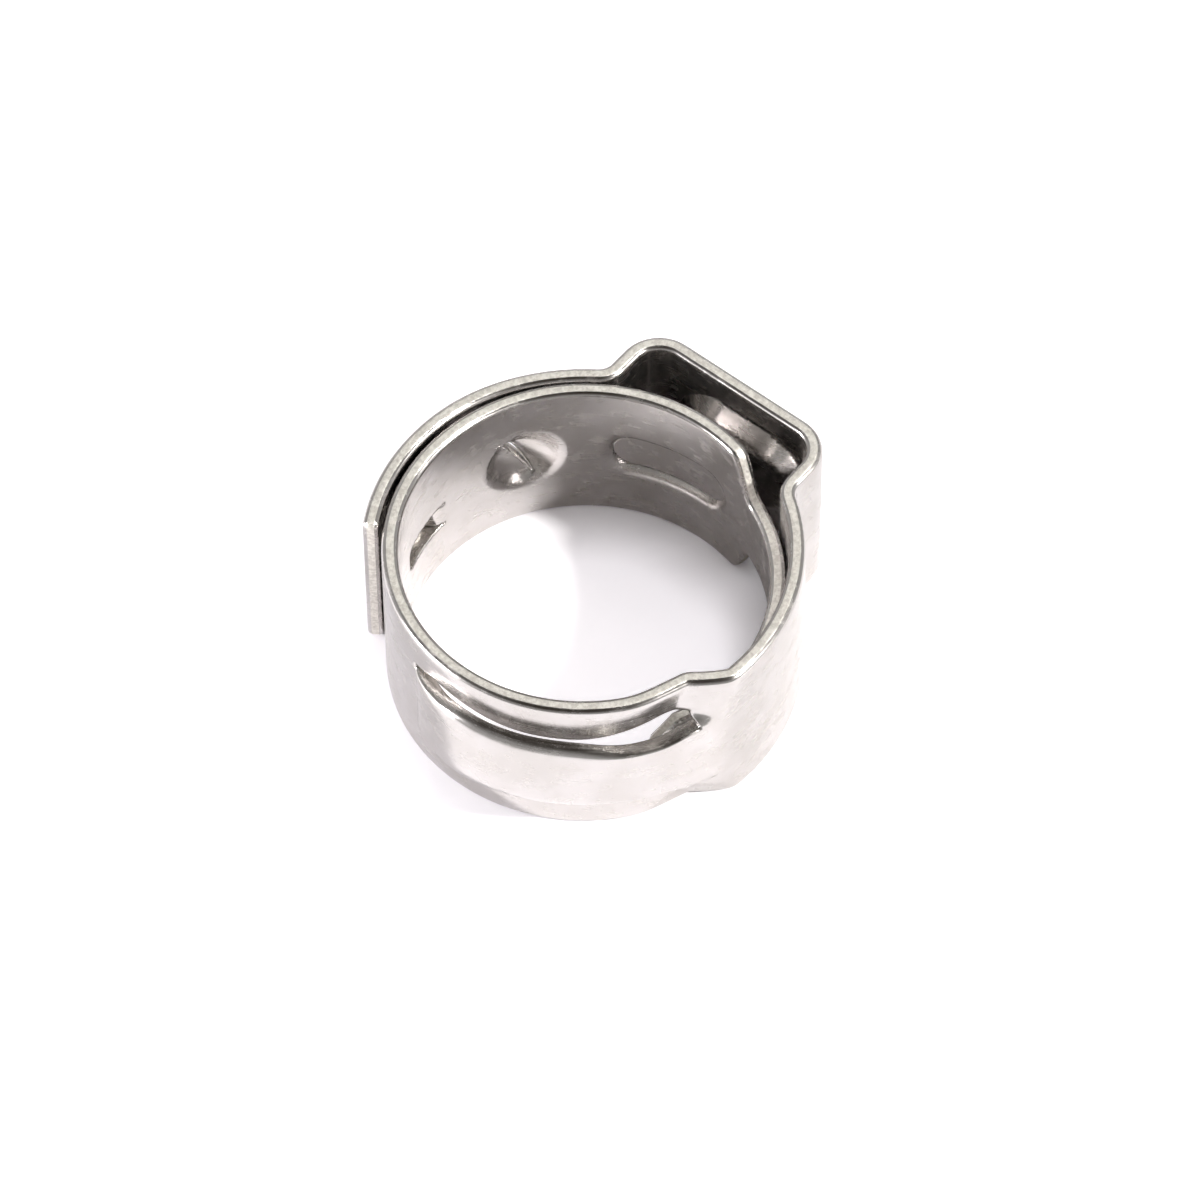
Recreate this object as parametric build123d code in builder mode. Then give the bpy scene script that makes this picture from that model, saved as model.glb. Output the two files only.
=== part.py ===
from build123d import *
import os
from math import asin, cos, degrees, radians, sin, sqrt

os.makedirs("parts", exist_ok=True)

# One-ear stepless hose clamp, stamped and rolled from a single strip of stainless sheet.
# Millimetres.  The origin is the centre of the hose bore, +Z runs along the hose and the
# ear stands towards +Y.  Angles are degrees about the bore, counter-clockwise from +X.
# The strip starts at the tip of the tongue, runs counter-clockwise under the ear and round
# the ring, steps outwards past the channel, climbs over itself, makes the ear and ends in a
# square-cut tail that hooks onto the layer below.

# ---- the strip -------------------------------------------------------------------------
bore_diameter = 13.3  # open clamp, before the ear is pinched
band_width = 7.0
band_thickness = 0.6
layer_gap = 0.07  # between the lower and the upper layer of the strip
edge_break = 0.12  # the burr-free long edges are broken by this much

# ---- the two layers --------------------------------------------------------------------
bore_radius = bore_diameter / 2
lower_outside = bore_radius + band_thickness
upper_inside = lower_outside + layer_gap
upper_outside = upper_inside + band_thickness
lower_centre = bore_radius + band_thickness / 2
upper_centre = upper_inside + band_thickness / 2
half_width = band_width / 2
cut_reach = 2 * upper_outside  # a cutter this long passes every layer

# ---- where things lie round the ring ---------------------------------------------------
ear_angle = 90.0
shoulder_top_angle = 74.5  # where the full width of the lower layer ends
shoulder_low_angle = 67.5  # where the tongue has its own width
tongue_tip_angle = -45.5
channel_start_angle = -107.5  # the two slits run from here
channel_end_angle = -18.5  # to here
channel_ramp = 15.0  # the strap's way out to the upper radius
joggle_turn = 12.0  # the rails' way out to the upper radius
bead_start_angle = 78.5
bead_end_angle = 123.5
dome_angle = 148.5
finger_root_angle = 179.5
finger_slot_turn = 22.0
tail_angle = 212.5

# ---- the ear ---------------------------------------------------------------------------
ear_width = 8.7  # over the outside of its legs
ear_top = 9.3  # from the bore's axis to the outside of its plate
ear_corner = 1.6  # outside radius of its two corners
ear_foot = 0.6  # outside radius where a leg leaves the ring
dimple_shift = 0.4  # it sits a little nearer to the ear's +X leg
dimple_length = 5.4
dimple_height = 4.0
dimple_depth = 0.45
dimple_slope = 40.0  # the dimple's wall, from the pressing direction

# ---- the tongue and its channel --------------------------------------------------------
tongue_width = 3.2
tongue_tip_corner = 0.9  # how much its tip tapers on each side
strap_width = 3.4
slit_width = 0.2

# ---- the bead under the ear and the two hooks ------------------------------------------
bead_height = 2.5
bead_depth = 0.35
bead_wall = 0.3  # how much wider the bead is on its outside
dome_mouth = 3.3  # diameter of the dome hook's hollow at the bore
dome_hook_depth = 1.05  # the half that carries the load
dome_guide_depth = 0.35  # the half that faces it
dome_cut_lean = 30.0  # the cut's lean from the hose's direction
dome_cut_shift = 0.3  # the cut lies this far towards the tail from the dome's middle
finger_width = 1.2
finger_length = 2.1
finger_lift = 0.95  # how far the finger's tip stands out of the lower layer
finger_bend = 22.0  # how far the finger's tip leans out from the ring
finger_slot_corner = 0.3
finger_shift = -0.5  # the finger and its slot sit this far along the hose
window_clearance = 0.15
window_corner = 0.5
dome_window_start = 132.5
dome_window_end = 165.5
dome_window_height = 4.3
finger_window_start = 178.0
finger_window_height = 1.6

# ---- for the cuts and joins ------------------------------------------------------------
root_turn = degrees(band_thickness / lower_centre)  # a bent-out run is rooted this far back
ring_align = (Align.NONE, Align.NONE, Align.CENTER)


def on_ring(radius, angle):
    """The point of the ring's plan at a radius and an angle."""
    return (radius * cos(radians(angle)), radius * sin(radians(angle)))


def along_ring(angle):
    """The counter-clockwise direction of the strip at an angle."""
    return (-sin(radians(angle)), cos(radians(angle)))


def outward_plane(angle, radius):
    """A plane that touches the ring: X runs clockwise, Y along the hose, normal outwards."""
    direction = (cos(radians(angle)), sin(radians(angle)), 0)
    origin = (radius * direction[0], radius * direction[1], 0)
    return Plane(origin=origin, x_dir=(direction[1], -direction[0], 0), z_dir=direction)


# ---- the ear's plan, worked out from its outside sizes -----------------------------------
leg_x = (ear_width - band_thickness) / 2
plate_y = ear_top - band_thickness / 2
corner_centre_radius = ear_corner - band_thickness / 2
foot_centre_radius = ear_foot + band_thickness / 2
foot_x = leg_x + foot_centre_radius
foot_reach = upper_centre + foot_centre_radius
foot_y = sqrt(foot_reach**2 - foot_x**2)
foot_turn = degrees(asin(foot_x / foot_reach))
right_foot_angle = ear_angle - foot_turn
left_foot_angle = ear_angle + foot_turn
corner_start_y = plate_y - corner_centre_radius
corner_end_x = leg_x - corner_centre_radius

joggle_end_angle = channel_end_angle + joggle_turn
channel_turn = channel_end_angle - channel_start_angle
lower_turn = channel_end_angle + 360 - shoulder_top_angle
shoulder_angle = (shoulder_top_angle + shoulder_low_angle) / 2
shoulder_reach = radians(shoulder_top_angle - shoulder_low_angle) / 2 * lower_centre

# ---- the start of the strip: a tongue with sloping shoulders, cut from the full width ------
start_turn = shoulder_top_angle - tongue_tip_angle
margin_height = half_width - tongue_width / 2
with BuildPart() as tongue:
    with BuildSketch(Plane.XY.offset(-half_width)):
        with BuildLine():
            CenterArc((0, 0), lower_centre, tongue_tip_angle, start_turn)
        trace(line_width=band_thickness)
    extrude(amount=band_width)
    chamfer(tongue.faces().filter_by(Axis.Z).edges().filter_by(GeomType.CIRCLE), length=edge_break)
    for side in (1, -1):
        with Locations((0, 0, side * (tongue_width + margin_height) / 2)):
            Cylinder(
                cut_reach,
                margin_height,
                arc_size=shoulder_low_angle - tongue_tip_angle,
                rotation=(0, 0, tongue_tip_angle),
                align=ring_align,
                mode=Mode.SUBTRACT,
            )
        with BuildSketch(outward_plane(shoulder_angle, 0)):
            with BuildLine():
                Polyline(
                    (shoulder_reach, side * tongue_width / 2),
                    (-shoulder_reach, side * half_width),
                    (shoulder_reach, side * half_width),
                    close=True,
                )
            make_face()
        extrude(amount=cut_reach, mode=Mode.SUBTRACT)
        with BuildSketch(outward_plane(tongue_tip_angle, 0)):
            with BuildLine():
                Polyline(
                    (edge_break, side * (tongue_width / 2 - tongue_tip_corner)),
                    (-tongue_tip_corner, side * (tongue_width / 2 + edge_break)),
                    (edge_break, side * (tongue_width / 2 + edge_break)),
                    close=True,
                )
            make_face()
        extrude(amount=cut_reach, mode=Mode.SUBTRACT)

# ---- the strap that bridges the channel at the upper radius --------------------------------
ramp_end_angle = channel_start_angle + channel_ramp
strap_level_turn = joggle_end_angle + root_turn - ramp_end_angle
with BuildPart() as strap:
    with BuildSketch(Plane.XY.offset(-strap_width / 2)):
        with BuildLine():
            CenterArc((0, 0), lower_centre, channel_start_angle - root_turn, root_turn)
            Spline(
                on_ring(lower_centre, channel_start_angle),
                on_ring(upper_centre, ramp_end_angle),
                tangents=(along_ring(channel_start_angle), along_ring(ramp_end_angle)),
            )
            CenterArc((0, 0), upper_centre, ramp_end_angle, strap_level_turn)
        trace(line_width=band_thickness)
    extrude(amount=strap_width)

dimple_margin = band_thickness * (1 - sin(radians(dimple_slope))) / cos(radians(dimple_slope))
finger_slot_angle = finger_root_angle + finger_slot_turn / 2
finger_slot_length = radians(finger_slot_turn) * bore_radius

# ---- the bead under the ear: a long hollow pressed outwards --------------------------------
bead_angle = (bead_start_angle + bead_end_angle) / 2
bead_length = radians(bead_end_angle - bead_start_angle) * bore_radius
with BuildPart() as bead_hollow:
    with BuildSketch(outward_plane(bead_angle, 0)):
        SlotOverall(bead_length, bead_height)
    extrude(amount=cut_reach)
    Cylinder(bore_radius + bead_depth, band_width, mode=Mode.INTERSECT)
with BuildPart() as bead_back:
    with BuildSketch(outward_plane(bead_angle, 0)):
        SlotOverall(bead_length + 2 * bead_wall, bead_height + 2 * bead_wall)
    extrude(amount=cut_reach)
    Cylinder(lower_outside + bead_depth, band_width, mode=Mode.INTERSECT)
    Cylinder(lower_centre, band_width, mode=Mode.SUBTRACT)

# ---- the dome hook: two half domes of different depth, parted by a leaning cut -------------
dome_plane = outward_plane(dome_angle, bore_radius)
cut_side = cos(radians(dome_cut_lean))
cut_rise = sin(radians(dome_cut_lean))
dome_cut_plane = Plane(
    origin=dome_plane.origin - dome_plane.x_dir * dome_cut_shift,
    x_dir=dome_plane.z_dir,
    z_dir=dome_plane.x_dir * cut_side + dome_plane.y_dir * cut_rise,
)


def dome_sphere_radius(depth):
    """The hollow's sphere for a depth below the bore's wall, over the dome's mouth."""
    return ((dome_mouth / 2) ** 2 + depth**2) / (2 * depth)


def dome_centre(depth):
    """The centre of that sphere, on the dome's own axis."""
    return dome_plane.origin + dome_plane.z_dir * (depth - dome_sphere_radius(depth))


def half_dome(depth, wall, kept):
    """One half of a dome, from the bore's wall outwards, on its own side of the cut."""
    with BuildPart() as half:
        with Locations(dome_centre(depth)):
            Sphere(dome_sphere_radius(depth) + wall)
        Cylinder(bore_radius, cut_reach, mode=Mode.SUBTRACT)
        split(bisect_by=dome_cut_plane, keep=kept)
    return half.part


# ---- the finger hook: lanced out of its slot and bent outwards -----------------------------
finger_turn = degrees(finger_length / upper_centre)
finger_tip_angle = finger_root_angle + finger_turn
finger_window_end = finger_tip_angle + degrees(window_clearance / upper_centre)
finger_direction = finger_tip_angle - finger_bend
with BuildPart() as finger:
    with BuildSketch(Plane.XY.offset(finger_shift - finger_width / 2)):
        with BuildLine():
            CenterArc((0, 0), lower_centre, finger_root_angle - root_turn, root_turn)
            Spline(
                on_ring(lower_centre, finger_root_angle),
                on_ring(lower_centre + finger_lift, finger_tip_angle),
                tangents=(along_ring(finger_root_angle), along_ring(finger_direction)),
            )
        trace(line_width=band_thickness)
    extrude(amount=finger_width)


def window(start_angle, end_angle, height, shift):
    """A round-cornered opening through the upper layer alone, shifted along the hose."""
    middle = (start_angle + end_angle) / 2
    length = radians(end_angle - start_angle) * upper_centre
    with BuildPart() as opening:
        with BuildSketch(outward_plane(middle, 0)):
            with Locations((0, shift)):
                RectangleRounded(length, height, window_corner)
        extrude(amount=cut_reach)
        Cylinder(lower_outside + layer_gap / 2, band_width, mode=Mode.SUBTRACT)
    return opening.part


dome_window = window(dome_window_start, dome_window_end, dome_window_height, 0)
finger_window = window(finger_window_start, finger_window_end, finger_window_height, finger_shift)
hook_hollow = half_dome(dome_hook_depth, 0, Keep.TOP)
hook_back = half_dome(dome_hook_depth, band_thickness, Keep.TOP)
guide_hollow = half_dome(dome_guide_depth, 0, Keep.BOTTOM)
guide_back = half_dome(dome_guide_depth, band_thickness, Keep.BOTTOM)

# ---- the full-width strip: lower layer, joggle, upper layer, ear and tail ------------------
with BuildPart() as clamp_band:
    with BuildSketch(Plane.XY.offset(-half_width)):
        with BuildLine():
            CenterArc((0, 0), lower_centre, shoulder_top_angle, lower_turn)
            Spline(
                on_ring(lower_centre, channel_end_angle),
                on_ring(upper_centre, joggle_end_angle),
                tangents=(along_ring(channel_end_angle), along_ring(joggle_end_angle)),
            )
            CenterArc((0, 0), upper_centre, joggle_end_angle, right_foot_angle - joggle_end_angle)
            RadiusArc(on_ring(upper_centre, right_foot_angle), (leg_x, foot_y), foot_centre_radius)
            Line((leg_x, foot_y), (leg_x, corner_start_y))
            RadiusArc((leg_x, corner_start_y), (corner_end_x, plate_y), -corner_centre_radius)
            Line((corner_end_x, plate_y), (-corner_end_x, plate_y))
            RadiusArc((-corner_end_x, plate_y), (-leg_x, corner_start_y), -corner_centre_radius)
            Line((-leg_x, corner_start_y), (-leg_x, foot_y))
            RadiusArc((-leg_x, foot_y), on_ring(upper_centre, left_foot_angle), foot_centre_radius)
            CenterArc((0, 0), upper_centre, left_foot_angle, tail_angle - left_foot_angle)
        trace(line_width=band_thickness)
    extrude(amount=band_width)
    chamfer(clamp_band.faces().filter_by(Axis.Z).edges(), length=edge_break)

    # The channel: two slits free the middle of the strip, leaving a rail on each side.
    Cylinder(
        cut_reach,
        strap_width + 2 * slit_width,
        arc_size=channel_turn,
        rotation=(0, 0, channel_start_angle),
        align=ring_align,
        mode=Mode.SUBTRACT,
    )
    Cylinder(
        cut_reach,
        strap_width,
        arc_size=joggle_turn,
        rotation=(0, 0, channel_end_angle),
        align=ring_align,
        mode=Mode.SUBTRACT,
    )
    add(strap.part)

    # The shoulders slope from the full width of the lower layer down to the tongue.
    add(tongue.part)

    # The bead lies in the lower layer, where the ear leaves it bare.
    add(bead_back.part)
    add(bead_hollow.part, mode=Mode.SUBTRACT)

    # The dimple that stiffens the ear's plate, pressed towards the bore.
    with BuildSketch(Plane.XZ.offset(-ear_top)):
        with Locations((dimple_shift, 0)):
            SlotOverall(dimple_length, dimple_height)
    extrude(amount=dimple_depth, taper=dimple_slope, mode=Mode.SUBTRACT)
    with BuildSketch(Plane.XZ.offset(band_thickness - ear_top)):
        with Locations((dimple_shift, 0)):
            SlotOverall(dimple_length + 2 * dimple_margin, dimple_height + 2 * dimple_margin)
    extrude(amount=dimple_depth, taper=dimple_slope)

    # The two windows in the upper layer, and the hooks of the lower layer that stand in them.
    add(dome_window, mode=Mode.SUBTRACT)
    add(finger_window, mode=Mode.SUBTRACT)
    for hollow, back in ((hook_hollow, hook_back), (guide_hollow, guide_back)):
        add(hollow, mode=Mode.SUBTRACT)
        add(back)
        add(hollow, mode=Mode.SUBTRACT)
    with BuildSketch(outward_plane(finger_slot_angle, 0)):
        with Locations((0, finger_shift)):
            RectangleRounded(finger_slot_length, finger_width, finger_slot_corner)
    extrude(amount=lower_outside + layer_gap / 2, mode=Mode.SUBTRACT)
    add(finger.part)

clamp_band.part.label = "clamp_band"
export_step(clamp_band.part, "parts/clamp_band.step")
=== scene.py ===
from math import asin, atan2, ceil, cos, degrees, hypot, pi, radians, sin, sqrt, tan

import bpy
import numpy as np
from mathutils import Matrix, Vector, geometry


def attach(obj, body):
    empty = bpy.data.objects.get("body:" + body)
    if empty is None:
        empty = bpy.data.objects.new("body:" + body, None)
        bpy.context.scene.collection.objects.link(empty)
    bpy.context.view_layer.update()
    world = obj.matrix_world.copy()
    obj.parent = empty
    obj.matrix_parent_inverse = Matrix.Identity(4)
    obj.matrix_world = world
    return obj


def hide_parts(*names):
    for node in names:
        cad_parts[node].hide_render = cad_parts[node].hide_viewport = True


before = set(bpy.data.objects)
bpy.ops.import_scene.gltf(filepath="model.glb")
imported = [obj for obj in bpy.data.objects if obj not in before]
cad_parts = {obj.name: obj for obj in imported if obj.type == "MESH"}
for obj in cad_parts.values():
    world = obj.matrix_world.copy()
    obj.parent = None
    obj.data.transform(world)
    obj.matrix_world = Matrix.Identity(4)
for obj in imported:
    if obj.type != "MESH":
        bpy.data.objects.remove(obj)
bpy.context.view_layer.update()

MM = 0.001

# The clamp is one strip. Its mesh is drawn flat and then rolled up: u runs along the strip from
# the tongue's tip to the tail, v across it and h through it, out of the ring. Lengths are in
# millimetres. Plan angles are in degrees about the bore, counter-clockwise from +X, and are
# counted on past 360 where the strip's upper layer lies over its lower one.

# ---- the strip ------------------------------------------------------------------------------
BORE_RADIUS = 6.65
WIDTH = 7.0
THICKNESS = 0.6
LAYER_GAP = 0.07
LAYER_STEP = THICKNESS + LAYER_GAP
LOWER = BORE_RADIUS + THICKNESS / 2  # radius of the lower layer's middle
UPPER = LOWER + LAYER_STEP
HALF_WIDTH = WIDTH / 2
HALF_THICKNESS = THICKNESS / 2

TONGUE_TIP = -31.0
SHOULDER_LOW = 67.5
SHOULDER_TOP = 74.5
BEAD_MIDDLE = 101.0
DOME_MIDDLE = 148.5
FINGER_ROOT = 179.5
CHANNEL_START = 252.5
CHANNEL_END = 340.5
JOGGLE_TURN = 13.0
EAR_MIDDLE = 90 + 360
TAIL = 212.5 + 360
TAIL_SPRING = 0.09  # the upper layer stands off a little more past the ear
TAIL_SPRING_TURN = 50

# ---- the strip's outline --------------------------------------------------------------------
TONGUE_WIDTH = 3.2
TONGUE_TIP_CUT = 0.9  # how far the tongue's tip is cut off on a slant at each side
TONGUE_CORNER = 0.3
SHOULDER_LOW_CORNER = 0.6
SHOULDER_TOP_CORNER = 0.5
TAIL_CORNER = 0.25

# ---- the channel: a strap on the upper radius between two rails on the lower one ------------
STRAP_RAMP = 30.0  # degrees over which the strap rises
STRAP_BREAK = 0.15  # share of the ramp over which it breaks away from the ring
STRAP_BREAK_START = 0.15  # where on that way it already is when the slits begin
STRAP_HALF = 1.56  # half the strap's width where the slits are narrowest
STRAP_SPREAD = 0.19  # by what share the strap is squeezed wider, over the slits, once it is cut
STRAP_FLARE_LEFT = 0.1  # how much wider the strap is cut towards its left end
STRAP_WAIST_RIGHT = 0.12  # and how much narrower towards its right end
STRAP_FLARE_RIGHT = 0.25  # before it widens at the slit's very end
RAIL_INNER = 1.59  # a rail's inner edge where the slits are narrowest
RAIL_FLARE_LEFT = 0.38
RAIL_FLARE_RIGHT = 0.6
RAIL_DIP = 0.18  # the rails swing in towards the bore before they step out
RAIL_DIP_TURN = 22.0
RAIL_EARLY = 0.35  # share of the joggle by which their inner edges step out earlier
RAIL_ROLL = 0.09  # their edges at the slits are rolled in by this much
RAIL_ROLL_TURN = 10.0  # degrees over which the roll starts and ends
RAIL_BEND_WIDTH = 1.5  # how far from the slit both of these reach
SLIT_CLOSED = 4.0  # degrees by which the lower slit starts later
SLIT_LEAST = 0.03  # a slit is never narrower than this
SLIT_MARGIN = 0.002  # the step from strap to rail keeps this far inside the slit's edges
STEP_ROOM = 0.15  # where the slit ends, the step from strap to rail is this much wider
STEP_ROOM_EARLY = 4.0
STEP_ROOM_TURN = 6.0

# Where a form of the channel changes, as shares of the channel's run: its start and its length.
FLARE_LEFT_RUN = (0.0, 0.5)
WAIST_RUN = (0.6, 0.2)
FLARE_RIGHT_RUN = (0.84, 0.16)
RAIL_FLARE_RUN = (0.56, 0.42)
SPREAD_GROWS = (0.06, 0.24)
SPREAD_ENDS = (0.5, 0.35)
ROUND_GROWS = (0.0, 0.4)
ROUND_ENDS = (0.55, 0.3)

# ---- the ear --------------------------------------------------------------------------------
EAR_WIDTH = 8.7
EAR_TOP = 9.3
EAR_CORNER = 1.6
EAR_FOOT = 0.6
DIMPLE_SHIFT = 0.4  # towards the ear's +X leg
DIMPLE_LENGTH = 5.9
DIMPLE_HEIGHT = 4.4
DIMPLE_DEPTH = 0.65
DIMPLE_WALL = 0.7  # how wide its sloping wall is

# ---- the bead, the two hooks and their windows ----------------------------------------------
BEAD_HEIGHT = 2.6
BEAD_WALL = 0.48
BEAD_LENGTH = 5.7
BEAD_DEPTH = 0.24
DOME_MOUTH = 3.3
DOME_HOOK_DEPTH = 0.95  # the half that carries the load
DOME_HOOK_STEEPNESS = 1.6
DOME_GUIDE_DEPTH = 0.5  # the half that faces it
DOME_GUIDE_STEEPNESS = 3.6
DOME_CUT_LEAN = 30.0
DOME_CUT_SHIFT = 0.3  # the cut lies towards the tail from the dome's middle
DOME_CUT_SHARE = 0.93  # its length, as a share of the mouth's
DOME_CUT_HALF = 0.015
FINGER_WIDTH = 1.2
FINGER_LENGTH = 2.1
FINGER_LIFT = 0.95
FINGER_KNEE = 0.3  # share of its length over which it bends out
FINGER_KNEE_LIFT = 0.6  # and the share of its lift that it has gained there
FINGER_REACH = 1.05  # the bent shape is drawn a little past the tip
FINGER_TIP_SHARE = 0.93  # where the finger is cut off, as a share of its length
FINGER_TIP_CORNER = 0.2
FINGER_GAP = 0.03  # the cut at its sides
FINGER_SHIFT = -0.5
FINGER_SLOT_LENGTH = 2.6
FINGER_SLOT_CORNER = 0.3
WINDOW_CORNER = 0.5
DOME_WINDOW = (132.5 + 360, 165.5 + 360)
DOME_WINDOW_HEIGHT = 4.3
FINGER_WINDOW = (178.0 + 360, 198.5 + 360)
FINGER_WINDOW_HEIGHT = 1.6

# ---- the cut edges: their rounding along the outer face, through it, and at the inner face ---
EDGE_ROUND = (0.2, 0.2, 0.17)
STRAP_ROUND = (0.7, 0.52, 0.06)
RAIL_ROUND = (0.12, 0.12, 0.06)
WINDOW_ROUND = (0.08, 0.08, 0.08)
HOOK_ROUND = (0.04, 0.04, 0.04)
TORN_OUTLINE = 1.0  # how torn the metal looks on the strip's own edges
TORN_CUT_OUT = 0.4  # and in its slits, slots and windows
MITRE_LEAST = 0.6  # the higher it is, the shorter a sharp corner's mitre

# ---- the mesh -------------------------------------------------------------------------------
GRID = 0.16  # spacing of the sheet's points
FINE_GRID = 0.08  # and where small forms are stamped
DOME_GRID = 0.07
CHANNEL_GRID_ALONG = 0.09
CHANNEL_GRID_ACROSS = 0.05
LOOP_STEP = 0.11  # spacing along its edges
EDGE_MARGIN = 0.06  # no point of the grid lies nearer to an edge
ROUND_LEVELS = (0.2, 0.4, 0.6, 0.8, 1.0)  # the rings of a rounded edge, as shares of a quarter turn
MAX_SLOPE = 0.7  # past this a drawn wall thins instead of leaning
SLOPE_STEP = 0.004  # slopes are measured over this length to each side
TRIANGULATION_TOLERANCE = 1e-7
TURN_STEP = 0.2  # degrees between points of the ring's plan
ARC_STEP = 1.5  # degrees times millimetres between points of the ear's arcs
ARC_LEAST = 8
JOGGLE_POINTS = 80
SLIT_POINTS = 120
JOGGLE_MARGIN = 1.0  # degrees beside the joggle where the way out is still radial
PLAN_STEP = 0.02  # spacing of the even middle line
PLAN_BLUR = 8
LEAST_GAP = 1e-4
LEAST_SIDE = 1e-6
SIDE_SHARE = 0.48  # a corner's arc takes no more than this share of a side
CORNER_LEAST = 4
RAMP_SOFT = 0.12  # share of a straight slope's run that each of its end curves takes

# ---- the camera, as the photograph was taken ------------------------------------------------
VIEW_AZIMUTH = 39.5  # degrees; 0 looks along +Y
VIEW_ELEVATION = 55.2
VIEW_ROLL = -0.6
VIEW_DISTANCE = 300 * MM
AIM_RIGHT = 0.548 * MM  # the picture's centre lies this far right of the bore's centre
AIM_UP = 0.036 * MM
SENSOR = 36.0
LENS = 249.75

# ---- the light: a room dimmest above the camera, a table that the camera sees lighter -------
ROOM_LIGHT = 0.45
ROOM_COLOR = (0.98, 0.97, 0.95, 1)
ROOM_EDGE = 0.5
DIM_COLOR = (0.07, 0.055, 0.04, 1)
DIM_EDGE = 0.86
DIM_AZIMUTH = VIEW_AZIMUTH - 90
DIM_ELEVATION = 75
LAMP_DISTANCE = 0.5
FLOOR_HALF = 2.0
TABLE_COLOR = (0.90, 0.89, 0.92, 1)
TABLE_GLOW = 0.62
TABLE_GLOW_COLOR = (0.985, 0.955, 1.0, 1)
TABLE_PAINTED_SHADE_REACH = 2.6 * MM  # painted contact shade: the glow fades this near to the clamp's foot
TABLE_PAINTED_SHADE_POWER = 2.0

# ---- the metal's colours --------------------------------------------------------------------
FACE_DARK = (0.61, 0.585, 0.565, 1)
FACE_LIGHT = (0.675, 0.65, 0.64, 1)
MARK_COLOR = (0.6, 0.56, 0.5, 1)
TORN_DARK = (0.65, 0.62, 0.57, 1)
TORN_LIGHT = (0.88, 0.855, 0.80, 1)
GRAIN_SCALE = (0.5, 16, 16)  # along the strip, across it and through it
MARK_SCALE = (1.6, 2.0, 1.6)
TEAR_SCALE = (7, 9, 7)
HAZE_SCALE = 0.55
TORN_ROUGHNESS = 0.3  # how much rougher the strip's own cut edges are


def make_camera():
    """The camera, turned and shifted as it was fitted to the photograph."""
    azimuth = radians(VIEW_AZIMUTH)
    elevation = radians(VIEW_ELEVATION)
    level = cos(elevation)
    forward = Vector((-sin(azimuth) * level, cos(azimuth) * level, -sin(elevation)))
    right = Vector((cos(azimuth), sin(azimuth), 0))
    up = right.cross(forward)
    roll = Matrix.Rotation(-radians(VIEW_ROLL), 3, forward)
    right = roll @ right
    up = roll @ up
    camera = bpy.data.objects.new("camera", bpy.data.cameras.new("camera"))
    bpy.context.collection.objects.link(camera)
    camera.data.sensor_width = SENSOR
    camera.data.lens = LENS
    camera.data.clip_start = 1 * MM
    camera.data.clip_end = 10
    axes = Matrix((right, up, -forward)).transposed().to_4x4()
    axes.translation = -forward * VIEW_DISTANCE + right * AIM_RIGHT + up * AIM_UP
    camera.matrix_world = axes
    bpy.context.scene.camera = camera


# ---- small helpers --------------------------------------------------------------------------
def smooth(x):
    """0 to 1 with level ends."""
    x = np.clip(x, 0.0, 1.0)
    return x * x * x * (x * (6 * x - 15) + 10)


def change(x, run):
    """0 before a run and 1 after it; a run is its start and its length."""
    start, length = run
    return smooth((x - start) / length)


def ramp(x):
    """0 to 1 as a straight slope with small curves at its ends."""
    x = np.clip(x, -RAMP_SOFT, 1 + RAMP_SOFT)
    low = (x + RAMP_SOFT) ** 2 / (4 * RAMP_SOFT)
    high = 1 - (1 + RAMP_SOFT - x) ** 2 / (4 * RAMP_SOFT)
    return np.where(x < RAMP_SOFT, low, np.where(x > 1 - RAMP_SOFT, high, x))


def joggle_rise(x):
    """The step from the lower layer's radius to the upper's, its curves inside 0 to 1."""
    return ramp((1 + 2 * RAMP_SOFT) * x - RAMP_SOFT)


def on_ring(radius, angle):
    """Plan points at a radius and an angle in degrees."""
    turn = np.radians(angle)
    return np.stack([radius * np.cos(turn), radius * np.sin(turn)], axis=-1)


# ---- the plan of the strip: its middle line, from the tongue's tip to the tail --------------
def plan_arc(centre, radius, start, end):
    """Points on an arc; the angles in degrees."""
    count = max(int(abs(end - start) * radius / ARC_STEP), ARC_LEAST)
    return np.array(centre) + on_ring(radius, np.linspace(start, end, count))


def ear_plan():
    """The arcs of the ear's feet and corners, and the angle from its middle to where they start."""
    leg_x = (EAR_WIDTH - THICKNESS) / 2
    plate_y = EAR_TOP - HALF_THICKNESS
    corner = EAR_CORNER - HALF_THICKNESS
    foot = EAR_FOOT + HALF_THICKNESS
    foot_x = leg_x + foot
    foot_y = sqrt((UPPER + foot) ** 2 - foot_x**2)
    turn = degrees(asin(foot_x / (UPPER + foot)))
    right = [
        plan_arc((foot_x, foot_y), foot, 270 - turn, 180),
        plan_arc((leg_x - corner, plate_y - corner), corner, 0, 90),
    ]
    left = [np.flip(part * (-1, 1), axis=0) for part in reversed(right)]
    return right + left, turn


def rail_dip(turn):
    """How far the lower layer has swung in towards the bore."""
    return RAIL_DIP * smooth((turn - CHANNEL_END + RAIL_DIP_TURN) / RAIL_DIP_TURN)


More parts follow.
